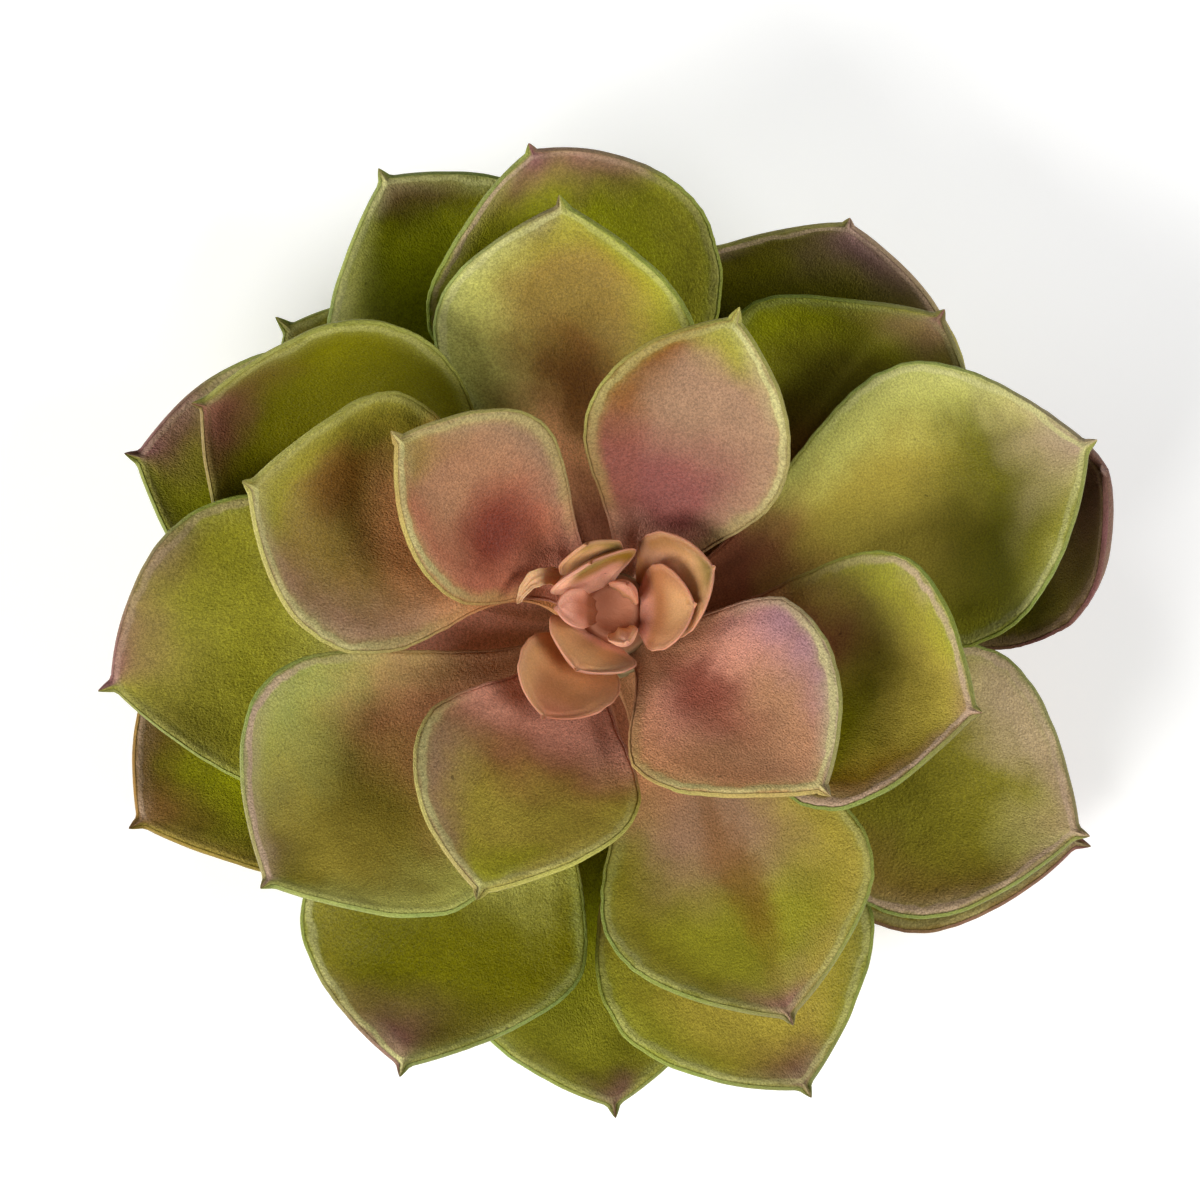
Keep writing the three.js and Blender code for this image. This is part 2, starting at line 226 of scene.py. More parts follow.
SKINS = {
    "skirt": (
        skin("moss", "moss", "olive", "olive", "lime", "olive", dust=(0.4, 0.4)),
        skin("moss", "moss", "olive", "olive", "olive", "olive", rim="mauve",
             stain=(1.0, 0.0, 0.34, "plum"), dust=(0.3, 0.6)),
        skin("moss", "moss", "moss", "moss", "moss", "moss", rim="mauve", stain=(1.0, 0.0, 0.5, "plum"),
             dust=(0.4, 0.4), powder="pink_wax_and_painted_sheen"),
        skin("moss", "grass", "lime", "deep", "lime", "lime", stain=(1.0, 0.0, 0.12, "plum"),
             dust=(0.1, 0.3)),
        skin("moss", "moss", "grass", "deep", "straw", "fawn", rim="fawn", stain=(0.7, -0.4, 0.2, "tan"),
             dust=(0.1, 0.8), powder="pink_wax_and_painted_sheen"),
        skin("grass", "grass", "grass", "grass", "grass", "celery", stain=(1.0, -0.7, 0.24, "mauve"),
             dust=(0.2, 0.7), powder="pink_wax_and_painted_sheen"),
        skin("moss", "moss", "moss", "deep", "deep", "olive", rim="celery",
             stain=(0.8, -0.6, 0.24, "lilac"), dust=(0.9, 0.8), powder="pink_wax_and_painted_sheen"),
        skin("moss", "grass", "grass", "deep", "celery", "moss", stain=(0.3, 0.0, 0.1, "mauve"),
             dust=(0.9, 0.6)),
    ),
    "lower": (
        # its pale spot near the tip is wax with a painted glossy highlight
        skin("moss", "olive", "olive", "celery", "lime", "fawn", 0.45, 0.62, stain=(0.5, 0.4, 0.2, "mauve"),
             spot=(0.8, 0.8, 0.5, 0.24, "pink_wax_and_painted_sheen", 0.7), dust=(0.8, 0.9), powder="pink_wax_and_painted_sheen"),
        skin("russet", "umber", "straw", "fawn", "olive", "lime", 0.42, 0.6, stain=(1.0, 0.0, 0.15, "plum"),
             dust=(0.5, 0.5)),
        skin("lime", "celery", "moss", "deep", "moss", "olive", 0.4, 0.54, stain=(0.8, -0.8, 0.22, "mauve"),
             dust=(0.2, 1.0)),
        skin("blush", "celery", "lime", "lime", "lime", "lime", 0.46, 0.56,
             stain=(1.0, -0.9, 0.28, "mauve"), dust=(0.1, 0.5), powder="pink_wax_and_painted_sheen"),
        skin("moss", "moss", "moss", "deep", "moss", "moss", rim="leek", stain=(0.9, 0.3, 0.2, "wine"),
             dust=(0.1, 0.3)),
        skin("umber", "umber", "olive", "grass", "grass", "bronze", 0.3, 0.55,
             stain=(1.0, 0.0, 0.15, "mauve"), dust=(0.2, 0.4)),
        skin("moss", "grass", "grass", "moss", "grass", "lime", 0.4, 0.6, stain=(0.9, -0.4, 0.2, "mauve"),
             dust=(0.8, 0.3), powder="pink_wax_and_painted_sheen"),
    ),
    "middle": (
        skin("russet", "straw", "moss", "celery", "celery", "lime", 0.34, 0.68,
             stain=(0.8, 0.3, 0.22, "lilac"), dust=(0.9, 0.8)),
        # its umber spot is painted shade along the fold in the blade
        skin("apricot", "clay", "lime", "clay", "straw", "olive", 0.36, 0.6,
             stain=(1.0, 0.0, 0.14, "mauve"), spot=(0.05, 0.62, 0.2, 0.26, "umber", 0.6), dust=(0.4, 0.4)),
        skin("peach", "apricot", "straw", "moss", "celery", "leek", 0.4, 0.56,
             stain=(0.6, -0.8, 0.2, "clay"), spot=(-0.42, 0.72, 0.3, 0.16, "celery", 0.5), dust=(0.1, 1.0),
             powder="pink_wax_and_painted_sheen"),
        skin("russet", "salmon", "fawn", "lime", "celery", "lime", 0.3, 0.46,
             stain=(0.8, 1.0, 0.16, "plum"), spot=(0.0, 0.54, 0.4, 0.16, "umber", 0.9), dust=(0.8, 0.4)),
        # its umber spot on the right flank is a painted shadow
        skin("salmon", "salmon", "fawn", "lime", "clay", "olive", 0.42, 0.58, rim="celery",
             spot=(-0.3, 0.74, 0.36, 0.12, "umber", 0.7), dust=(0.7, 0.2)),
        skin("rose", "russet", "straw", "straw", "lime", "ochre", 0.4, 0.56,
             stain=(0.7, 0.0, 0.12, "mauve"), spot=(-0.4, 0.66, 0.7, 0.14, "moss", 1.0), dust=(0.9, 1.0),
             powder="pink_wax_and_painted_sheen"),
    ),
    "inner": (
        skin("blush", "russet", "straw", "grass", "straw", "clay", 0.46, 0.58, rim="celery",
             dust=(0.4, 0.9)),
        skin("petal", "wine", "clay", "lime", "umber", "clay", 0.24, 0.6, rim="leek",
             stain=(0.6, 0.0, 0.2, "olive"), spot=(0.8, 0.45, 0.5, 0.24, "wine", 0.8), dust=(0.4, 0.9)),
        # its brick spot is painted shade in the hollow of the cup
        skin("peach", "blush", "peach", "peach", "lilac", "apricot", 0.3, 0.54, rim="leek",
             spot=(-0.1, 0.45, 0.42, 0.25, "brick", 0.85), dust=(0.7, 0.9)),
        skin("blush", "rose", "peach", "fawn", "rose", "clay", 0.26, 0.6, rim="celery",
             spot=(0.14, 0.5, 0.74, 0.17, "brick", 1.0), dust=(0.8, 0.3)),
    ),
    "bud": (
        bud_skin("salmon", "salmon", "toffee", "apricot", "apricot", "honey",
                 stain=(1.0, 0.5, 0.24, "rose")),
        bud_skin("salmon", "petal", "honey", "fawn", "tan", "honey"),
        bud_skin("cream", "cream", "cream", "cream", "cream", "cream", rim="cream"),
        bud_skin("blush", "cream", "honey", "fawn", "honey", "fawn"),
        bud_skin("blush", "toffee", "honey", "honey", "toffee", "apricot"),
        bud_skin("petal", "blush", "tan", "fawn", "petal", "ochre"),
        bud_skin("petal", "honey", "honey", "apricot", "clay", "honey"),
        bud_skin("russet", "rose", "blush", "blush", "blush", "blush"),
        bud_skin("cream", "cream", "petal", "petal", "cream", "cream"),
        bud_skin("peach", "apricot", "blush", "blush", "blush", "blush", rim="rose"),
    ),
}


def shade(red, green, blue):
    """A linear colour from everyday 0 to 255 values."""
    shares = [value / 255.0 for value in (red, green, blue)]
    return tuple(s / 12.92 if s <= 0.04 else ((s + 0.055) / 1.055) ** 2.4 for s in shares)


def colour_property(name, description, red, green, blue):
    """A colour that the user can change, with its everyday value as the default."""
    return bpy.props.FloatVectorProperty(
        name=name, description=description, subtype="COLOR", size=3, min=0.0, max=1.0,
        default=shade(red, green, blue),
    )


def length_property(name, description, size, least=0.0):
    """A size that the user can change, given in millimetres."""
    return bpy.props.FloatProperty(
        name=name, description=description, default=size * MM, min=least * MM,
        subtype="DISTANCE", unit="LENGTH",
    )


def power_property(name, description, power):
    """The power of a light, in watts."""
    return bpy.props.FloatProperty(
        name=name, description=description, default=power, min=0.0, subtype="POWER", unit="POWER",
    )


class EcheveriaColours(bpy.types.PropertyGroup):
    """The colours that the leaves and the stem share."""

    # Brick is also painted shade in the cup of one inner leaf.
    brick: colour_property("Brick", "Deepest red of the inner leaves", 124, 57, 40)
    russet: colour_property("Russet", "Red brown of the inner leaves", 144, 86, 58)
    rose: colour_property("Rose", "Necks of the leaves by the heart", 176, 108, 80)
    blush: colour_property("Blush", "Palest pink necks", 210, 146, 122)
    peach: colour_property("Peach", "Lit faces of the inner leaves", 168, 121, 87)
    salmon: colour_property("Salmon", "Bud leaves", 222, 158, 104)
    apricot: colour_property("Apricot", "Outer bud leaves", 190, 134, 92)
    clay: colour_property("Clay", "Dull pink over green", 152, 118, 90)
    wine: colour_property("Wine", "Dusky red of an inner leaf", 132, 76, 68)
    petal: colour_property("Petal", "Palest bud leaves", 236, 176, 146)
    tan: colour_property("Tan", "Where rose turns to green", 154, 108, 60)
    # Umber is also painted shade and a painted shadow in the spots of two middle leaves.
    umber: colour_property("Umber", "Brown necks", 122, 76, 26)
    bronze: colour_property("Bronze", "Brown green", 108, 85, 4)
    ochre: colour_property("Ochre", "Yellow brown bellies", 131, 96, 10)
    fawn: colour_property("Fawn", "Dull yellow of the lower blades", 138, 114, 48)
    straw: colour_property("Straw", "Yellow green flanks", 165, 148, 57)
    lime: colour_property("Lime", "Fresh green flanks", 150, 146, 40)
    celery: colour_property("Celery", "Palest green", 178, 176, 90)
    leek: colour_property("Leek", "Lit margin faces", 160, 164, 82)
    sage: colour_property("Sage", "Dull green margin faces", 128, 147, 74)
    grass: colour_property("Grass", "Freshest green of the outer leaves", 150, 152, 12)
    olive: colour_property("Olive", "Green of the lower blades", 134, 126, 34)
    moss: colour_property("Moss", "Dark green of the hollows", 106, 102, 2)
    deep: colour_property("Deep moss", "Darkest green of the skirt", 82, 76, 0)
    mauve: colour_property("Mauve", "Stain near the tips", 137, 78, 92)
    lilac: colour_property("Lilac", "Palest stain, by the tips of the outer leaves", 156, 114, 118)
    plum: colour_property("Plum", "Deepest stain, on the skirt", 104, 68, 60)
    # The next two tones are wax on the raised edges, and they also paint the sheen where light catches those
    # edges.
    wax_and_painted_sheen: colour_property("Bloom", "Cream wax on the raised edges", 191, 187, 126)
    pink_wax_and_painted_sheen: colour_property("Pink Wax And Painted Sheen", "Pinkish wax on the raised edges", 188, 160, 136)
    bark: colour_property("Bark", "Old skin of the stem", 142, 124, 86)
    scar: colour_property("Scar", "Leaf scars on the stem", 188, 172, 130)
    pith: colour_property("Pith", "Cut end of the stem", 214, 206, 164)
    heart: colour_property("Heart", "Hollow crown that the buds stand round", 184, 120, 88)
    toffee: colour_property("Toffee", "Broad faces of the bud leaves", 172, 114, 72)
    honey: colour_property("Honey", "Lit tips of the bud leaves", 202, 152, 102)
    cream: colour_property("Cream", "The smallest, palest bud leaves", 252, 198, 148)


class EcheveriaShape(bpy.types.PropertyGroup):
    """Sizes of the fine relief that the leaves carry."""

    ridge_height: length_property("Ridge", "Height of the fine ridge along the margin", 0.2)
    groove_depth: length_property("Groove", "Depth of the groove beside the ridge", 0.12)
    bulge: length_property("Bulge", "How far the lower half of the margin face swells", 0.14)
    ripple_height: length_property("Ripple", "Height of the slow waves in a blade", 0.32)
    ragged_edge: length_property("Ragged edge", "Depth of the small bumps along the outline", 0.1)
    grain_size: length_property("Grain", "Width of one grain of the skin", 0.3, 0.05)


class EcheveriaStage(bpy.types.PropertyGroup):
    """The camera and the light."""

    distance: length_property("Camera distance", "From the camera to the rosette", 950.0, 200.0)
    elevation: bpy.props.FloatProperty(
        name="Camera elevation", description="Angle of the view above the floor", default=math.radians(84),
        min=0.0, max=math.pi / 2, subtype="ANGLE", unit="ROTATION")
    lens: bpy.props.FloatProperty(
        name="Lens", description="Focal length", default=177.0, min=10.0, unit="CAMERA")
    key_power: power_property("Key light", "Power of the key light", 40.0)
    low_power: power_property("Low light", "Power of the low side light", 24.0)
    fill_power: power_property("Fill light", "Power of the fill light", 31.5)
    sky: bpy.props.FloatProperty(
        name="Room light", description="Strength of the pale room light", default=0.076, min=0.0)


# ---- Small helpers ----


def smooth(x):
    """Eases from 0 to 1 as x goes from 0 to 1."""
    x = np.clip(x, 0.0, 1.0)
    return x * x * (3.0 - 2.0 * x)


def mix(a, b, share):
    """From a to b."""
    return a + (b - a) * share


def hump(x, centre, width):
    """A bell of height 1 at centre."""
    return np.exp(-(((x - centre) / width) ** 2))


def finish_piece(mesh, name, material, node):
    """Puts a finished mesh into the scene as the piece that stands for a node."""
    mesh.name = name
    mesh.materials.clear()
    mesh.materials.append(material)
    mesh.shade_smooth()
    piece = bpy.data.objects.new(name, mesh)
    bpy.context.scene.collection.objects.link(piece)
    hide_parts(node)
    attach(piece, "root")
    return piece


# ---- Leaf shape ----

COLUMNS = 48
ROWS = 96
THORN_ROWS = 7
RIM_LAYERS = 8
# The rim's columns: millimetres in from the margin, and the most of the half width that they may take.
RIM_AT = (0.0, 0.22, 0.48, 0.8, 1.25, 1.9, 2.8)
RIM_SHARES = (0.0, 0.1, 0.2, 0.3, 0.42, 0.54, 0.66)

TIP_CROWDING = 0.4  # how much closer the rows of a leaf lie near its tip
THORN_NARROWING = 0.96
STEEPEST_OUTLINE = 2.6  # most that the outline may be longer than the midrib beside it

# The bumps in an outline and the waves in a blade, the slow ones and then the fine ones: the longest and the
# shortest in millimetres, and how many are added up.
BUMPS = ((9.0, 3.0, 5), (2.6, 1.8, 4))
FINE_BUMPS = 0.6
SWELLS = ((42.0, 20.0, 6), (12.0, 7.0, 6))
FINE_SWELLS = 0.25

# The relief along the margin: where it lies and how wide it is, in millimetres in from the margin.
RIDGE = (0.75, 0.42)
GROOVE = (1.9, 0.6)
CRISP_FROM = 0.52  # share of the length where the relief starts to sharpen, and over how much of it
CRISP_OVER = 0.34


def blade_sheet():
    """The quads of one leaf, flat: a grid with walls of RIM_LAYERS layers and a second grid above it."""
    bm = bmesh.new()
    bmesh.ops.create_grid(bm, x_segments=COLUMNS, y_segments=ROWS, size=1.0)
    lid = bm.faces[:]
    for layer in range(RIM_LAYERS):
        grown = bmesh.ops.extrude_face_region(bm, geom=lid)["geom"]
        if layer:  # the first sheet stays as the underside, and a later one would lie inside the leaf
            bmesh.ops.delete(bm, geom=lid, context="FACES")
        lid = [g for g in grown if isinstance(g, bmesh.types.BMFace)]
        raised = [g for g in grown if isinstance(g, bmesh.types.BMVert)]
        bmesh.ops.translate(bm, vec=(0.0, 0.0, 1.0 / RIM_LAYERS), verts=raised)
    bmesh.ops.recalc_face_normals(bm, faces=bm.faces[:])
    mesh = bpy.data.meshes.new("blade_sheet")
    bm.to_mesh(mesh)
    bm.free()
    return mesh


def stem_radius(height):
    """Radius of the stem at a height, in millimetres."""
    heights = [h for _, h in STEM_PROFILE]
    radii = [r for r, _ in STEM_PROFILE]
    return float(np.interp(height, heights, radii))


def half_width(u, leaf):
    """Half the width at a share u of the length."""
    flare = smooth((u - leaf["flare_from"]) / (leaf["widest_at"] - leaf["flare_from"]))
    rising = mix(leaf["foot_width"], leaf["width"], flare) / 2
    beyond = np.clip((u - leaf["widest_at"]) / (1 - leaf["widest_at"]), 0.0, 1.0)
    closing = leaf["width"] * (1 - beyond ** leaf["shoulder"]) ** leaf["apex"]
    falling = np.maximum(closing, leaf["thorn_width"]) / 2
    return np.where(u < leaf["widest_at"], rising, falling)


def half_thickness(u, v, leaf):
    """Half the thickness at u along and v across."""
    middle = mix(leaf["foot_thickness"], leaf["thickness"], smooth(u / leaf["widest_at"]))
    rib = mix(middle, leaf["margin"], smooth((u - leaf["widest_at"]) / (1 - leaf["widest_at"])))
    return mix(leaf["margin"], rib, 1 - v * v) / 2


def pitch_at(u, leaf):
    """Slope of the midrib, in radians."""
    foot, belly, tip = (math.radians(a) for a in leaf["pitch"])
    return np.where(
        u < BELLY_AT,
        mix(foot, belly, smooth(u / BELLY_AT)),
        mix(belly, tip, smooth((u - BELLY_AT) / (1 - BELLY_AT))),
    )


def heading_at(u, leaf):
    """Heading of the midrib, in radians, with 0 straight out from the stem."""
    middle, tip = (math.radians(a) for a in leaf["sway"])
    return np.where(u < 0.5, mix(0.0, middle, smooth(u / 0.5)), mix(middle, tip, smooth((u - 0.5) / 0.5)))


def direction_at(u, leaf):
    """Unit vectors along the midrib."""
    pitch, heading = pitch_at(u, leaf), heading_at(u, leaf)
    return np.stack([np.cos(pitch) * np.cos(heading), np.cos(pitch) * np.sin(heading), np.sin(pitch)], -1)


def midrib(u, leaf):
    """Points of the midrib at the shares u, with the directions along, left and out."""
    steps = 200
    length = leaf["length"] + leaf["bite"]
    middles = (np.arange(steps) + 0.5) / steps
    path = np.cumsum(direction_at(middles, leaf), 0) * length / steps
    start = np.array([stem_radius(leaf["seat"]) - leaf["bite"], 0.0, leaf["seat"]])
    path = start + np.vstack([np.zeros(3), path])
    marks = np.linspace(0, 1, steps + 1)
    points = np.stack([np.interp(u, marks, path[:, k]) for k in range(3)], -1)
    along = direction_at(u, leaf)
    heading = heading_at(u, leaf)
    level = np.stack([-np.sin(heading), np.cos(heading), np.zeros_like(heading)], -1)
    rise = np.cross(along, level)
    roll = np.radians(leaf["roll"]) * smooth(u / ROLLED_BY)
    left = level * np.cos(roll)[:, None] + rise * np.sin(roll)[:, None]
    out = rise * np.cos(roll)[:, None] - level * np.sin(roll)[:, None]
    return points, along, left, out


def waves(draw, x, y, longest, shortest, count):
    """A sum of slow waves over a flat place, of about unit height."""
    total = np.zeros_like(x)
    for _ in range(count):
        length = draw.uniform(shortest, longest)
        angle = draw.uniform(0.0, math.tau)
        shift = draw.uniform(0.0, math.tau)
        total += np.sin(math.tau * (x * math.cos(angle) + y * math.sin(angle)) / length + shift)
    return total / math.sqrt(count)


def column_offsets(width, stretch, leaf):
    """Distance in from the margin of each column, on every row, and the same square to the outline."""
    straight = np.array(RIM_AT) * leaf["rim_scale"]
    wanted = straight[None, :] * stretch[:, None]
    most = np.array(RIM_SHARES)[None, :] * width[:, None]
    near = wanted * most / np.maximum((wanted**4 + most**4) ** 0.25, 1e-9)
    inside = COLUMNS // 2 - (len(RIM_AT) - 1)
    shares = np.arange(1, inside + 1) / inside
    far = near[:, -1:] + (width[:, None] - near[:, -1:]) * shares[None, :]
    half = np.concatenate([near, far], 1)
    return half, half / stretch[:, None]


def sheet_places(mesh):
    """Column and row of each point of the flat sheet, and its side: 1 on the upper face, -1 on the under."""
    flat = np.zeros(len(mesh.vertices) * 3)
    mesh.vertices.foreach_get("co", flat)
    x, y, z = flat.reshape(-1, 3).T
    column = np.rint((1 - x) / 2 * COLUMNS).astype(int)  # 0 on the right margin
    rank = np.rint((y + 1) / 2 * ROWS).astype(int)
    return column, rank, 2 * z - 1


def leaf_rows():
    """Share of the length that each row lies at, and how far along the thorn it is."""
    blade_rows = ROWS - THORN_ROWS
    steps = np.arange(blade_rows + 1) / blade_rows
    u = np.concatenate([steps + TIP_CROWDING * steps * (1 - steps), np.ones(THORN_ROWS)])
    thorn = np.concatenate([np.zeros(blade_rows + 1), np.arange(1, THORN_ROWS + 1) / THORN_ROWS])
    return u, thorn


def outline(draw, u, thorn, leaf, depth):
    """Half width of each row, bumps included, and how much longer the outline is than the midrib there."""
    length = leaf["length"] + leaf["bite"]
    ease = 1e-3
    growth = (half_width(np.clip(u + ease, 0, 1), leaf) - half_width(u - ease, leaf)) / (2 * ease * length)
    stretch = np.minimum(np.hypot(1.0, growth), STEEPEST_OUTLINE)
    slow, fine = (waves(draw, u * length, u * 0, *sizes) for sizes in BUMPS)
    fading = smooth((u - 0.15) / 0.2) * smooth((0.99 - u) / 0.08)
    bumps = depth * leaf["ragged"] * (1 + 0.8 * (slow + FINE_BUMPS * fine)) * fading
    return (half_width(u, leaf) - bumps) * (1 - THORN_NARROWING * thorn) ** 0.8, stretch


def margin_relief(near_edge, side, margin, crisp, rim, shape):
    """How far the skin stands up from the plain blade and out from its outline, in millimetres."""
    upper = side > 0.999
    under = side < -0.999
    ridge = shape.ridge_height / MM * hump(near_edge, *RIDGE) * mix(0.3, 1.0, crisp)
    groove = shape.groove_depth / MM * hump(near_edge, *GROOVE) * crisp
    drop = 0.26 * np.exp(-near_edge / 0.16) + 0.25 * (1 - crisp) * np.exp(-near_edge / 0.6)
    lift = np.where(upper, (ridge - groove - drop) * rim, 0.0)
    lift = np.where(under, 0.3 * np.exp(-near_edge / 0.5) * rim, lift)

    bulge = shape.bulge / MM
    wall = bulge * hump(side, -0.15, 0.5) - 0.55 * bulge * hump(side, 0.55, 0.3) - 0.16 * hump(side, 1.0, 0.2)
    wall = wall - 0.3 * hump(side, -1.0, 0.4) - 0.2 * (1 - crisp) * hump(side, 1.0, 0.6)
    aside = np.where(margin, wall, 0.0)
    aside = np.where(~margin & upper, -0.16 * np.exp(-near_edge / 0.3), aside)
    aside = np.where(~margin & under, -0.42 * np.exp(-near_edge / 0.5), aside) * rim
    return lift, aside


def shape_leaf(mesh, leaf, name, shape):
    """Bends the flat sheet into a leaf and notes each point's place on it."""
    draw = random.Random(name)
    column, rank, side = sheet_places(mesh)
    u, thorn = leaf_rows()
    length = leaf["length"] + leaf["bite"]
    points, along, left, out = midrib(u, leaf)
    points = points + along * (thorn * leaf["thorn_length"])[:, None]
    points = points + out * (thorn * leaf["margin"] / 2)[:, None]
    width, stretch = outline(draw, u, thorn, leaf, shape.ragged_edge / MM)
    offsets, square = column_offsets(width, stretch, leaf)

    half = COLUMNS // 2
    right_side = column <= half
    nearest = np.where(right_side, column, COLUMNS - column)
    inward = offsets[rank, nearest]
    edge = square[rank, nearest]
    w = np.maximum(width[rank], 1e-6)
    v = np.where(right_side, -1.0, 1.0) * (1 - inward / w)
    rows_u = u[rank]
    tapering = 1 - thorn[rank]

    scale = leaf["rim_scale"]
    near_edge = edge / scale
    rim = smooth((rows_u - 0.05) / 0.2) * scale * tapering
    crisp = smooth((rows_u - CRISP_FROM) / CRISP_OVER)
    thin = mix(mix(*leaf["edge_share"], crisp), 1.0, smooth(edge / mix(*leaf["taper"], crisp)))
    thick = half_thickness(rows_u, v, leaf) * thin * tapering**0.9
    lift, aside = margin_relief(near_edge, side, nearest == 0, crisp, rim, shape)

    cup = leaf["cup"] * w * np.abs(v) ** CUP_POWER
    slope = leaf["cup"] * CUP_POWER * np.abs(v) ** (CUP_POWER - 1) * np.sign(v)
    steep = np.hypot(1.0, slope)
    flat_x, flat_y = w * v, rows_u * length
    slow, fine = (waves(draw, flat_x, flat_y, *sizes) for sizes in SWELLS)
    ripple = shape.ripple_height / MM * leaf["ripple"] * (slow + FINE_SWELLS * fine)
    ripple = ripple * smooth(rows_u / 0.35) * smooth((1.02 - rows_u) / 0.15) * tapering
    for fold_v, fold_u, wide, long, depth in leaf["folds"]:
        ripple = ripple - depth * hump(v, fold_v, wide) * hump(rows_u, fold_u, long) * rim
    reach = side * thick + lift + ripple
    sideways = w * v + np.sign(v) * aside / steep - slope * reach / steep
    upwards = cup + reach / steep + np.abs(slope) * aside / steep
    place = points[rank] + left[rank] * sideways[:, None] + out[rank] * upwards[:, None]
    turn = math.radians(leaf["turn"])
    cos, sin = math.cos(turn), math.sin(turn)
    x = place[:, 0] * cos - place[:, 1] * sin
    y = place[:, 0] * sin + place[:, 1] * cos
    placed = np.stack([x, y, place[:, 2]], -1) * MM
    mesh.vertices.foreach_set("co", placed.astype(np.float32).ravel())

    own = np.stack([v, rows_u, side], -1)
    lengths = np.stack([flat_x, flat_y + thorn[rank] * leaf["thorn_length"], side * 1.5], -1) * MM
    write_attribute(mesh, ATTR_LEAF, "FLOAT_VECTOR", "vector", own)
    write_attribute(mesh, ATTR_FLAT, "FLOAT_VECTOR", "vector", lengths)
    write_attribute(mesh, ATTR_EDGE, "FLOAT", "value", near_edge)
    mesh.update()


def write_attribute(mesh, name, kind, key, values):
    """Stores values on the mesh's points."""
    attribute = mesh.attributes.new(name, kind, "POINT")
    attribute.data.foreach_set(key, values.astype(np.float32).ravel())


# ---- Node helpers ----


class Tree:
    """Short calls for the nodes that the materials and the groups here use."""

    def __init__(self, tree):
        self.tree = tree

    def add(self, kind, **settings):
        node = self.tree.nodes.new(kind)
        for key, value in settings.items():
            setattr(node, key, value)
        return node

    def put(self, socket, value):
        """Feeds an input with a link or a constant."""
        if isinstance(value, bpy.types.NodeSocket):
            self.tree.links.new(value, socket)
        elif value is not None:
            socket.default_value = value

    def math(self, operation, a, b=None):
        node = self.add("ShaderNodeMath", operation=operation)
        self.put(node.inputs[0], a)
        self.put(node.inputs[1], b)
        return node.outputs[0]

    def times(self, value, *others):
        """Multiplies values together."""
        for other in others:
            value = self.math("MULTIPLY", value, other)
        return value

    def away(self, value, centre):
        """How far a value lies from a centre."""
        return self.math("ABSOLUTE", self.math("SUBTRACT", value, centre))

    def vector(self, operation, a, b=None, result="Vector"):
        node = self.add("ShaderNodeVectorMath", operation=operation)
        self.put(node.inputs[0], a)
        self.put(node.inputs[1], b)
        return node.outputs[result]

    def ease(self, value, low, high, to_low=0.0, to_high=1.0):
        """Eases from to_low to to_high as value goes from low to high."""
        node = self.add("ShaderNodeMapRange", interpolation_type="SMOOTHSTEP")
        keys = ("Value", "From Min", "From Max", "To Min", "To Max")
        for key, wanted in zip(keys, (value, low, high, to_low, to_high)):
            self.put(node.inputs[key], wanted)
        return node.outputs["Result"]

    def blend(self, share, a, b):
        node = self.add("ShaderNodeMix", data_type="RGBA")
        self.put(node.inputs["Factor"], share)
        self.put(node.inputs["A"], a)
        self.put(node.inputs["B"], b)
        # the colour sockets are the third pair and result of the node
        return node.outputs[2]

    def noise(self, vector, scale, detail, roughness):
        node = self.add("ShaderNodeTexNoise")
        self.put(node.inputs["Vector"], vector)
        self.put(node.inputs["Scale"], scale)
        self.put(node.inputs["Detail"], detail)
        self.put(node.inputs["Roughness"], roughness)
        return node.outputs["Fac"]

    def combined(self, x, y, z):
        node = self.add("ShaderNodeCombineXYZ")
        for socket, value in zip(node.inputs, (x, y, z)):
            self.put(socket, value)
        return node.outputs["Vector"]

    def split(self, vector):
        node = self.add("ShaderNodeSeparateXYZ")
        self.put(node.inputs[0], vector)
        return node.outputs

    def attribute(self, name, output):
        return self.add("ShaderNodeAttribute", attribute_name=name).outputs[output]

    def bump(self, height, strength, distance):
        """Turns a height into a normal."""
        node = self.add("ShaderNodeBump")
        self.put(node.inputs["Strength"], strength)
        self.put(node.inputs["Distance"], distance)
        self.put(node.inputs["Height"], height)
        return node.outputs["Normal"]


def new_group(name, inputs, outputs):
    """An empty node group with these sockets, each a (name, type) pair, and its ends."""
    group = bpy.data.node_groups.new(name, "ShaderNodeTree")
    for socket, kind in inputs:
        group.interface.new_socket(socket, in_out="INPUT", socket_type="NodeSocket" + kind)
    for socket, kind in outputs:
        group.interface.new_socket(socket, in_out="OUTPUT", socket_type="NodeSocket" + kind)
    tree = Tree(group)
    return group, tree, tree.add("NodeGroupInput").outputs, tree.add("NodeGroupOutput").inputs


# Noises of the skin and the stem's bark: cycles a metre, detail and roughness.
CLOUDS = (60.0, 2.0, 0.55)
PATCHES = (170.0, 2.0, 0.6)
SPECKLE = (3000.0, 2.0, 0.75)
SPECKS = (620.0, 1.0, 0.5)
DENTS = (320.0, 1.0, 0.5)
BARK_CLOUDS = (260.0, 4.0, 0.6)
BARK_STREAKS = (1400.0, 3.0, 0.6)
PAPER_FLECKS = (900.0, 2.0, 0.5)


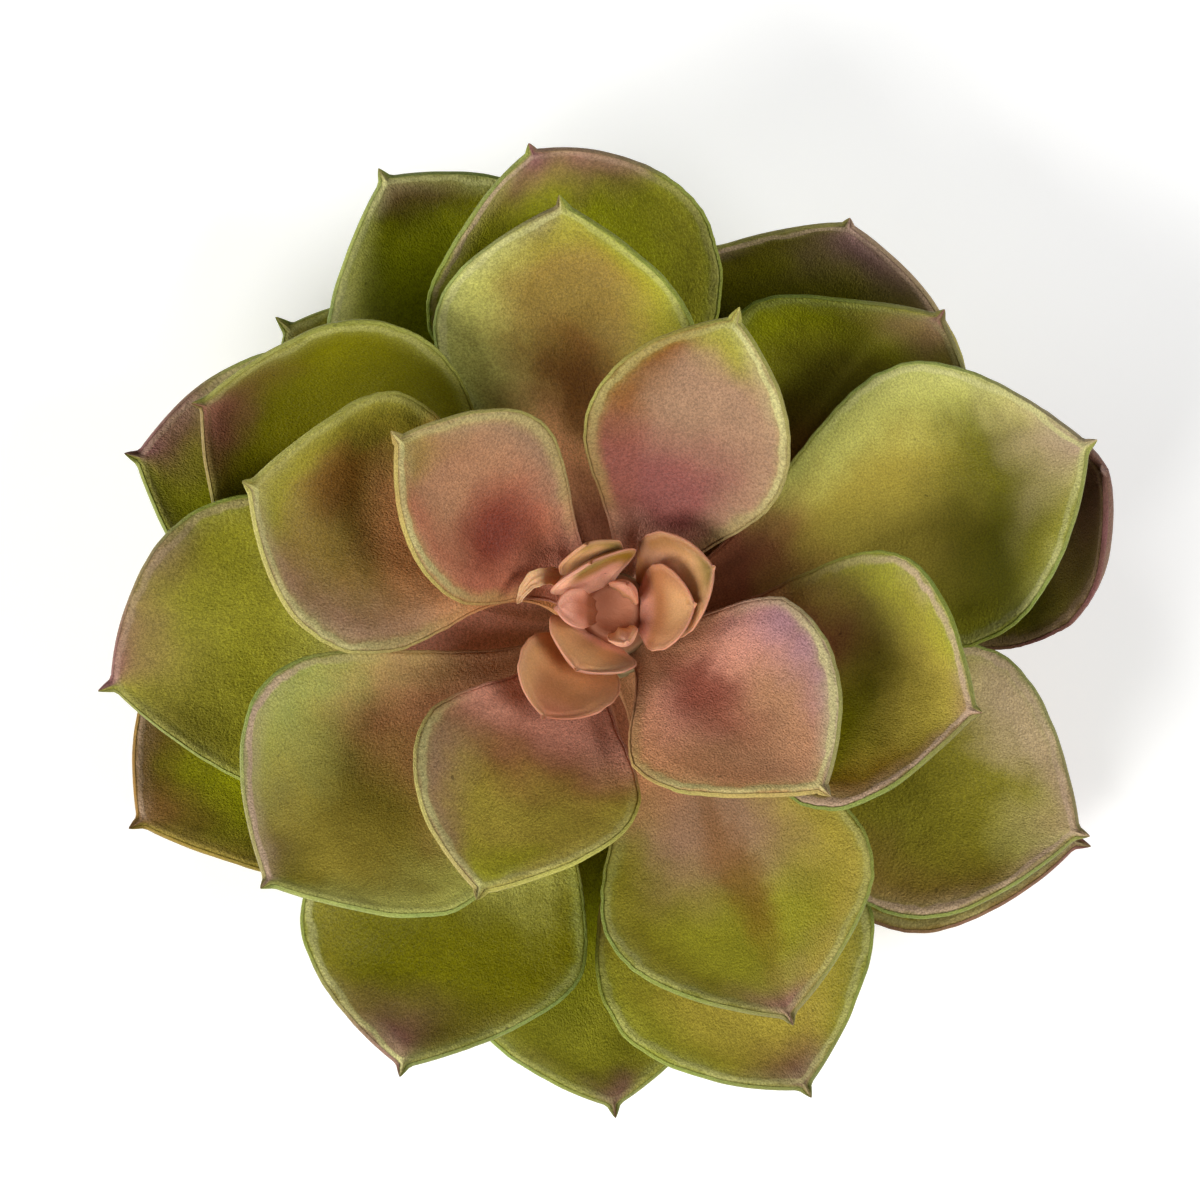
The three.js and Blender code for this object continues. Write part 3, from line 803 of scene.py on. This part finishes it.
def tint_group():
    """Colour of a leaf: its middle from neck to tip, flanks, spot, margin, stain by the tip, and wax with a
    painted sheen.
    """
    group, tree, given, made = new_group(
        "leaf tint",
        [("Place", "Vector"), ("Flat", "Vector"), ("Edge", "Float"), ("Seed", "Float"),
         ("Neck", "Color"), ("Belly", "Color"), ("Blade", "Color"), ("Tip", "Color"),
         ("Left", "Color"), ("Right", "Color"), ("Rim", "Color"), ("Stain", "Color"), ("Spot", "Color"),
         ("Bloom", "Color"), ("Neck End", "Float"), ("Belly End", "Float"), ("Stain Amount", "Float"),
         ("Stain Side", "Float"), ("Stain Reach", "Float"), ("Spot Place", "Vector"), ("Spot Size", "Vector"),
         ("Spot Amount", "Float"), ("Dust Left", "Float"), ("Dust Right", "Float"),
         ("Mottle", "Float")],
        [("Color", "Color"), ("Bloom", "Float")],
    )
    across, along, side = tree.split(given["Place"])
    flat = tree.vector("ADD", given["Flat"], given["Seed"])
    cloud = tree.noise(flat, *CLOUDS)
    patch = tree.noise(flat, *PATCHES)
    wander = tree.math("ADD", along, tree.ease(cloud, 0.2, 0.8, -0.06, 0.06))
    sway = tree.math("ADD", across, tree.ease(patch, 0.2, 0.8, -0.08, 0.08))

    def past(end, before, after):
        return tree.ease(wander, tree.math("SUBTRACT", end, before), tree.math("ADD", end, after))

    middle = tree.blend(past(given["Neck End"], 0.1, 0.12), given["Neck"], given["Belly"])
    middle = tree.blend(past(given["Belly End"], 0.12, 0.14), middle, given["Blade"])
    middle = tree.blend(tree.ease(wander, 0.8, 0.98), middle, given["Tip"])
    past_neck = past(given["Neck End"], 0.12, 0.2)
    upper = tree.blend(tree.times(tree.ease(sway, 0.3, 0.95), past_neck), middle, given["Left"])
    upper = tree.blend(tree.times(tree.ease(sway, -0.3, -0.95), past_neck), upper, given["Right"])

    aside = tree.vector("SUBTRACT", tree.combined(sway, wander, 0.0), given["Spot Place"])
    from_spot = tree.vector("LENGTH", tree.vector("DIVIDE", aside, given["Spot Size"]), result="Value")
    spot = tree.times(tree.ease(from_spot, 1.3, 0.2), given["Spot Amount"])
    upper = tree.blend(spot, upper, given["Spot"])

    from_edge = tree.math("ADD", given["Edge"], tree.ease(patch, 0.2, 0.8, -0.5, 0.5))
    band = tree.times(tree.ease(from_edge, 2.6, 0.5), past_neck, 0.3)
    upper = tree.blend(band, upper, given["Rim"])

    start = tree.math("SUBTRACT", 1.0, given["Stain Reach"])
    spread = tree.ease(tree.away(across, given["Stain Side"]), 0.3, 1.3, 1.0, 0.15)
    stain = tree.times(tree.ease(wander, start, 1.02), spread, given["Stain Amount"])
    stained = tree.blend(stain, upper, given["Stain"])

    # wax and painted highlight: worn pale patches near the margin, partly wax and partly painted sheen, and a
    # painted highlight line along the ridge
    worn_wax_and_sheen = tree.times(
        tree.ease(from_edge, 5.0, 0.6), tree.ease(cloud, 0.34, 0.62, 0.0, 0.4), tree.ease(along, 0.5, 0.85))
    painted_ridge_highlight = tree.times(
        tree.ease(tree.away(from_edge, RIDGE[0]), 0.9, 0.25), tree.ease(along, 0.4, 0.72),
        tree.ease(cloud, 0.3, 0.6, 0.5, 0.9))
    dust = tree.ease(across, -0.4, 0.4, given["Dust Right"], given["Dust Left"])
    wax_and_painted_sheen = tree.times(tree.math("MAXIMUM", worn_wax_and_sheen, painted_ridge_highlight), dust)
    topside = tree.blend(wax_and_painted_sheen, stained, given["Bloom"])

    rim = tree.times(tree.ease(side, 1.0, 0.84), tree.ease(side, -1.0, -0.8))
    rim_colour = tree.blend(tree.ease(cloud, 0.3, 0.7, 0.3, 0.75), stained, given["Rim"])
    rim_colour = tree.blend(tree.times(stain, 0.7), rim_colour, given["Stain"])
    rim_colour = tree.blend(tree.ease(along, 0.7, 0.35), rim_colour, upper)
    underside = tree.blend(0.3, upper, given["Rim"])
    underside = tree.blend(tree.times(stain, 0.8), underside, given["Stain"])
    colour = tree.blend(tree.ease(side, -0.8, -1.0), topside, underside)
    colour = tree.blend(rim, colour, rim_colour)

    darkest = tree.math("SUBTRACT", 1.0, given["Mottle"])
    lightest = tree.math("ADD", 1.0, given["Mottle"])
    mottle = tree.ease(tree.noise(flat, *SPECKLE), 0.25, 0.75, darkest, lightest)
    specks = tree.ease(tree.noise(flat, *SPECKS), 0.215, 0.185, 1.0, 0.55)
    spots = tree.add("ShaderNodeHueSaturation")
    tree.put(spots.inputs["Value"], tree.times(mottle, tree.ease(patch, 0.3, 0.7, 0.94, 1.06), specks))
    tree.put(spots.inputs["Color"], colour)
    tree.put(made["Color"], spots.outputs["Color"])
    tree.put(made["Bloom"], wax_and_painted_sheen)
    return group


def grain_group():
    """Relief and gloss of the skin: fine grain that runs a little along the leaf, and small slow dents."""
    group, tree, given, made = new_group(
        "leaf grain",
        [("Flat", "Vector"), ("Cycles", "Float"), ("Bloom", "Float")],
        [("Height", "Float"), ("Roughness", "Float")],
    )
    drawn = tree.vector("MULTIPLY", given["Flat"], (1.0, 0.62, 1.0))
    fine = tree.noise(drawn, given["Cycles"], 1.0, 0.65)
    coarse = tree.noise(drawn, tree.times(given["Cycles"], 0.3), 1.0, 0.5)
    height = tree.math("ADD", fine, tree.times(coarse, 0.7))
    tree.put(made["Height"], tree.math("ADD", height, tree.noise(given["Flat"], *DENTS)))
    gloss = tree.ease(fine, 0.3, 0.7, 0.4, 0.56)
    tree.put(made["Roughness"], tree.math("ADD", gloss, tree.times(given["Bloom"], 0.12)))
    return group


def group_node(tree, group, values):
    """Places a group in a material and feeds its inputs."""
    node = tree.add("ShaderNodeGroup")
    node.node_tree = group
    for key, value in values.items():
        tree.put(node.inputs[key], value)
    return node.outputs


def opaque(colour):
    """A colour with an alpha of 1."""
    return (*colour, 1.0)


SKIN_SHINE = 0.15
GRAIN_HEIGHT = 0.24  # millimetres
FLESH_DEPTH = 0.5  # millimetres that red light wanders in the flesh of a bud
FLESH_TINT = (1.0, 0.6, 0.25)  # how far each colour goes beside that
BUD_GLOW = 0.4  # share of the light that goes into the flesh of a bud


def leaf_material(name, tones, seed, glow):
    """The skin of one leaf, with its own tones."""
    scene = bpy.context.scene
    colours = scene.echeveria_colours
    shape = scene.echeveria_shape
    material = bpy.data.materials.new(name + "_skin")
    material.use_nodes = True
    tree = Tree(material.node_tree)
    flat = tree.attribute(ATTR_FLAT, "Vector")
    stain, stain_side, stain_reach, stain_tone = tones["stain"]
    across, along, wide, long, spot_tone, spot = tones["spot"]
    names = {key.title(): tones[key] for key in ("neck", "belly", "blade", "tip", "left", "right", "rim")}
    names.update({"Stain": stain_tone, "Spot": spot_tone, "Bloom": tones["powder"]})
    tint = group_node(tree, bpy.data.node_groups["leaf tint"], {
        "Place": tree.attribute(ATTR_LEAF, "Vector"), "Flat": flat, "Edge": tree.attribute(ATTR_EDGE, "Fac"),
        "Seed": seed, **{key: opaque(getattr(colours, tone)) for key, tone in names.items()},
        "Neck End": tones["neck_end"], "Belly End": tones["belly_end"],
        "Stain Amount": stain, "Stain Side": stain_side, "Stain Reach": stain_reach,
        "Spot Place": (across, along, 0.0), "Spot Size": (wide, long, 1.0), "Spot Amount": spot,
        "Dust Left": tones["dust"][0], "Dust Right": tones["dust"][1], "Mottle": tones["mottle"],
    })
    grain = group_node(tree, bpy.data.node_groups["leaf grain"], {
        "Flat": flat, "Cycles": 1.0 / shape.grain_size, "Bloom": tint["Bloom"],
    })
    finish = {
        "Base Color": tint["Color"],
        "Roughness": grain["Roughness"],
        "Normal": tree.bump(grain["Height"], tones["relief"], GRAIN_HEIGHT * MM),
        "Specular IOR Level": SKIN_SHINE,
        "Subsurface Weight": glow,
        "Subsurface Radius": FLESH_TINT,
        "Subsurface Scale": FLESH_DEPTH * MM,
    }
    for key, value in finish.items():
        tree.put(material.node_tree.nodes["Principled BSDF"].inputs[key], value)
    return material


# ---- Operators ----


def build_rank(rank):
    """Builds every leaf of one rank."""
    shape = bpy.context.scene.echeveria_shape
    sheet = blade_sheet()
    glow = BUD_GLOW if rank == "bud" else 0.0
    for number, (own, tones) in enumerate(zip(LEAVES[rank], SKINS[rank]), 1):
        name = f"{rank}_leaf_{number}"
        mesh = sheet.copy()
        shape_leaf(mesh, {**KINDS[rank], **own}, name, shape)
        seed = random.Random(name).uniform(0.0, 1.0)
        finish_piece(mesh, name + "_skin", leaf_material(name, tones, seed, glow), name)
    bpy.data.meshes.remove(sheet)


class ECHEVERIA_OT_groups(bpy.types.Operator):
    """Builds the node groups that the leaves' materials share"""

    bl_idname = "echeveria.groups"
    bl_label = "Skin Groups"

    def execute(self, context):
        tint_group()
        grain_group()
        return {"FINISHED"}


class ECHEVERIA_OT_skirt(bpy.types.Operator):
    """Builds the skirt leaves, the lowest and flattest ones"""

    bl_idname = "echeveria.skirt"
    bl_label = "Skirt Leaves"

    def execute(self, context):
        build_rank("skirt")
        return {"FINISHED"}


class ECHEVERIA_OT_lower(bpy.types.Operator):
    """Builds the lower leaves"""

    bl_idname = "echeveria.lower"
    bl_label = "Lower Leaves"

    def execute(self, context):
        build_rank("lower")
        return {"FINISHED"}


class ECHEVERIA_OT_middle(bpy.types.Operator):
    """Builds the middle leaves"""

    bl_idname = "echeveria.middle"
    bl_label = "Middle Leaves"

    def execute(self, context):
        build_rank("middle")
        return {"FINISHED"}


class ECHEVERIA_OT_inner(bpy.types.Operator):
    """Builds the rosy inner leaves"""

    bl_idname = "echeveria.inner"
    bl_label = "Inner Leaves"

    def execute(self, context):
        build_rank("inner")
        return {"FINISHED"}


class ECHEVERIA_OT_buds(bpy.types.Operator):
    """Builds the small leaves of the heart"""

    bl_idname = "echeveria.buds"
    bl_label = "Bud Leaves"

    def execute(self, context):
        build_rank("bud")
        return {"FINISHED"}


STEM_SIDES = 96
STEM_ROWS = 150
PITH_INSET = 2.0
SCAR_PITCH = 3.4  # height between the rings of leaf scars
SCAR_DEPTH = 0.35
SCAR_AT = (0.15, 0.1)  # where in the pitch a scar lies, and how wide it is
SCARRED = ((0.6, 2.6), (42.0, 36.0))  # heights between which the scars set in, and between which they end
HEART_FROM = (36.0, 43.0)  # heights between which bark turns to the colour of the heart
CUT_DEPTH = (0.4, 0.1)  # heights between which bark turns to the cut face
CUT_EDGE = (9.4, 8.8)  # and the radii between which it does so
VESSELS = (5.2, 1.1, 0.3)  # radius of the ring of vessels in the cut face, and where it fades out and is full
BARK_RELIEF = (0.6, 0.3)  # strength, and height in millimetres


def stem_material():
    """Old skin with paler scars, and the moist pith of the cut end."""
    colours = bpy.context.scene.echeveria_colours
    material = bpy.data.materials.new("stem_bark")
    material.use_nodes = True
    tree = Tree(material.node_tree)
    bark = material.node_tree.nodes["Principled BSDF"]
    spot = tree.add("ShaderNodeTexCoord").outputs["Object"]
    x, y, z = tree.split(tree.vector("DIVIDE", spot, (MM, MM, MM)))
    cloud = tree.noise(spot, *BARK_CLOUDS)
    streaks = tree.noise(tree.vector("MULTIPLY", spot, (1.0, 1.0, 0.25)), *BARK_STREAKS)
    phase = tree.math("FRACT", tree.math("ADD", tree.math("DIVIDE", z, SCAR_PITCH), cloud))
    ring = tree.times(tree.ease(phase, 0.0, 0.12), tree.ease(phase, 0.42, 0.2), 0.75)
    colour = tree.blend(ring, opaque(colours.bark), opaque(colours.scar))
    colour = tree.blend(tree.ease(streaks, 0.35, 0.75, 0.0, 0.45), colour, opaque(colours.moss))
    colour = tree.blend(tree.ease(z, *HEART_FROM), colour, opaque(colours.heart))
    reach = tree.math("SQRT", tree.math("ADD", tree.times(x, x), tree.times(y, y)))
    vessel = tree.times(tree.ease(tree.away(reach, VESSELS[0]), *VESSELS[1:]), 0.5)
    face = tree.blend(vessel, opaque(colours.pith), opaque(colours.bark))
    face = tree.blend(tree.ease(cloud, 0.45, 0.8, 0.0, 0.4), face, opaque(colours.tan))
    cut = tree.times(tree.ease(z, *CUT_DEPTH), tree.ease(reach, *CUT_EDGE))
    strength, height = BARK_RELIEF
    tree.put(bark.inputs["Base Color"], tree.blend(cut, colour, face))
    tree.put(bark.inputs["Roughness"], tree.ease(cloud, 0.3, 0.7, 0.6, 0.85))
    tree.put(bark.inputs["Normal"], tree.bump(tree.math("ADD", streaks, cloud), strength, height * MM))
    return material


def scar_relief(height, angle, shifts):
    """How far the bark stands out at a height and an angle, in millimetres."""
    (low, low_full), (high, high_full) = SCARRED
    fade = smooth((height - low) / (low_full - low)) * smooth((high - height) / (high - high_full))
    swing = sum(math.sin((k + 2) * angle + shift) for k, shift in enumerate(shifts)) * 0.5
    phase = (height / SCAR_PITCH + 0.3 * swing) % 1.0
    return -float(fade) * (SCAR_DEPTH * hump(phase, *SCAR_AT) + 0.12 * abs(swing))


class ECHEVERIA_OT_stem(bpy.types.Operator):
    """Builds the short stem with its leaf scars and its cut end"""

    bl_idname = "echeveria.stem"
    bl_label = "Stem"

    def execute(self, context):
        draw = random.Random("stem")
        bm = bmesh.new()
        bmesh.ops.create_circle(bm, cap_ends=True, segments=STEM_SIDES, radius=STEM_PROFILE[0][0] * MM)
        bmesh.ops.inset_region(bm, faces=bm.faces[:], thickness=PITH_INSET * MM, depth=0.0)
        edges = [e for e in bm.edges if e.is_boundary]
        radius = STEM_PROFILE[0][0]
        heights = [CROWN[0][1] * step / STEM_ROWS for step in range(1, STEM_ROWS)]
        rings = [(stem_radius(height), height) for height in heights]
        for wanted, height in (*rings, *CROWN):
            grown = bmesh.ops.extrude_edge_only(bm, edges=edges)["geom"]
            verts = [g for g in grown if isinstance(g, bmesh.types.BMVert)]
            edges = [g for g in grown if isinstance(g, bmesh.types.BMEdge)]
            bmesh.ops.scale(bm, vec=(wanted / radius, wanted / radius, 1.0), verts=verts)
            bmesh.ops.translate(bm, vec=(0.0, 0.0, height * MM - verts[0].co.z), verts=verts)
            radius = wanted
        bmesh.ops.contextual_create(bm, geom=edges)
        bmesh.ops.recalc_face_normals(bm, faces=bm.faces[:])
        shifts = [draw.uniform(0.0, math.tau) for _ in range(3)]
        for vert in bm.verts:
            height = vert.co.z / MM
            relief = scar_relief(height, math.atan2(vert.co.y, vert.co.x), shifts)
            vert.co.xy *= 1 + relief / max(stem_radius(height), 2.0)
        mesh = bpy.data.meshes.new("stem_skin")
        bm.to_mesh(mesh)
        bm.free()
        finish_piece(mesh, "stem_skin", stem_material(), "stem")
        return {"FINISHED"}


LOOK_AT = (-0.00193, 0.00325, 0.03034)
WHITE = (1.0, 1.0, 1.0)
PAPER_TONES = ((0.9, 0.9, 0.9), (0.93, 0.93, 0.925))
PAPER_GLOW = 0.28
FLOOR_SIZE = 3.0  # metres from the middle to each side
SENSOR = 36.0

# The lights: compass direction and height above the floor in degrees, width in metres and colour.
LIGHT_DISTANCE = 2.0
LIGHTS = {
    "key": (-45.0, 35.0, 1.1, (1.0, 0.99, 0.97)),
    "low": (-100.0, 14.0, 1.0, WHITE),
    "fill": (75.0, 38.0, 1.2, WHITE),
}


def area_light(name, power, azimuth, elevation, size, colour):
    """A soft square light that looks at the rosette from a compass direction."""
    light = bpy.data.lights.new(name, "AREA")
    light.shape = "SQUARE"
    light.energy = power
    light.size = size
    light.color = colour
    lamp = bpy.data.objects.new(name, light)
    a, e = math.radians(azimuth), math.radians(elevation)
    away = Vector((math.sin(a) * math.cos(e), -math.cos(a) * math.cos(e), math.sin(e)))
    lamp.location = Vector(LOOK_AT) + away * LIGHT_DISTANCE
    lamp.rotation_mode = "QUATERNION"
    lamp.rotation_quaternion = away.to_track_quat("Z", "Y")
    bpy.context.scene.collection.objects.link(lamp)


class ECHEVERIA_OT_stage(bpy.types.Operator):
    """Sets up the pale floor, the soft light and the camera"""

    bl_idname = "echeveria.stage"
    bl_label = "Stage"

    def execute(self, context):
        scene = context.scene
        stage = scene.echeveria_stage
        bm = bmesh.new()
        bmesh.ops.create_grid(bm, x_segments=8, y_segments=8, size=FLOOR_SIZE)
        mesh = bpy.data.meshes.new("floor")
        bm.to_mesh(mesh)
        bm.free()
        floor = bpy.data.objects.new("floor", mesh)
        material = bpy.data.materials.new("floor_paper")
        material.use_nodes = True
        tree = Tree(material.node_tree)
        paper = material.node_tree.nodes["Principled BSDF"]
        fleck = tree.noise(tree.add("ShaderNodeTexCoord").outputs["Object"], *PAPER_FLECKS)
        tree.put(paper.inputs["Base Color"], tree.blend(fleck, *map(opaque, PAPER_TONES)))
        paper.inputs["Roughness"].default_value = 0.9
        paper.inputs["Emission Color"].default_value = opaque(WHITE)
        paper.inputs["Emission Strength"].default_value = PAPER_GLOW
        material.cycles.emission_sampling = "NONE"
        mesh.materials.append(material)
        scene.collection.objects.link(floor)

        for name, place in LIGHTS.items():
            area_light(name + "_light", getattr(stage, name + "_power"), *place)
        world = bpy.data.worlds.new("room")
        world.use_nodes = True
        room = world.node_tree.nodes["Background"].inputs
        room["Color"].default_value = opaque(WHITE)
        room["Strength"].default_value = stage.sky
        scene.world = world
        scene.view_settings.view_transform = "Standard"
        scene.cycles.diffuse_bounces = 3
        scene.cycles.max_bounces = 6

        camera = bpy.data.cameras.new("camera")
        camera.lens = stage.lens
        camera.sensor_width = SENSOR
        camera.clip_start = 0.01
        camera.clip_end = 20.0
        viewer = bpy.data.objects.new("camera", camera)
        back = Vector((0.0, -math.cos(stage.elevation), math.sin(stage.elevation)))
        viewer.location = Vector(LOOK_AT) + back * stage.distance
        viewer.rotation_mode = "QUATERNION"
        viewer.rotation_quaternion = back.to_track_quat("Z", "Y")
        scene.collection.objects.link(viewer)
        scene.camera = viewer
        return {"FINISHED"}


class ECHEVERIA_PT_panel(bpy.types.Panel):
    """Lists the steps that build the rosette"""

    bl_idname = "ECHEVERIA_PT_panel"
    bl_label = "Lipstick Echeveria"
    bl_space_type = "VIEW_3D"
    bl_region_type = "UI"
    bl_category = "Echeveria"

    def draw(self, context):
        for operator in STEPS:
            self.layout.operator(operator.bl_idname)
        for group in ("echeveria_colours", "echeveria_shape", "echeveria_stage"):
            settings = getattr(context.scene, group)
            box = self.layout.box()
            for key in settings.__annotations__:
                box.prop(settings, key)


STEPS = (
    ECHEVERIA_OT_stage,
    ECHEVERIA_OT_groups,
    ECHEVERIA_OT_stem,
    ECHEVERIA_OT_skirt,
    ECHEVERIA_OT_lower,
    ECHEVERIA_OT_middle,
    ECHEVERIA_OT_inner,
    ECHEVERIA_OT_buds,
)
SETTINGS = {
    "echeveria_colours": EcheveriaColours,
    "echeveria_shape": EcheveriaShape,
    "echeveria_stage": EcheveriaStage,
}


def register():
    """Registers the settings, the steps and the panel."""
    for cls in (*SETTINGS.values(), *STEPS, ECHEVERIA_PT_panel):
        bpy.utils.register_class(cls)
    for name, cls in SETTINGS.items():
        setattr(bpy.types.Scene, name, bpy.props.PointerProperty(type=cls))


def unregister():
    """Takes them away again."""
    for name in SETTINGS:
        delattr(bpy.types.Scene, name)
    for cls in reversed((*SETTINGS.values(), *STEPS, ECHEVERIA_PT_panel)):
        bpy.utils.unregister_class(cls)


def main():
    """Builds the whole scene."""
    register()
    bpy.ops.echeveria.stage()
    bpy.ops.echeveria.groups()
    bpy.ops.echeveria.stem()
    bpy.ops.echeveria.skirt()
    bpy.ops.echeveria.lower()
    bpy.ops.echeveria.middle()
    bpy.ops.echeveria.inner()
    bpy.ops.echeveria.buds()


if __name__ == "__main__":
    main()
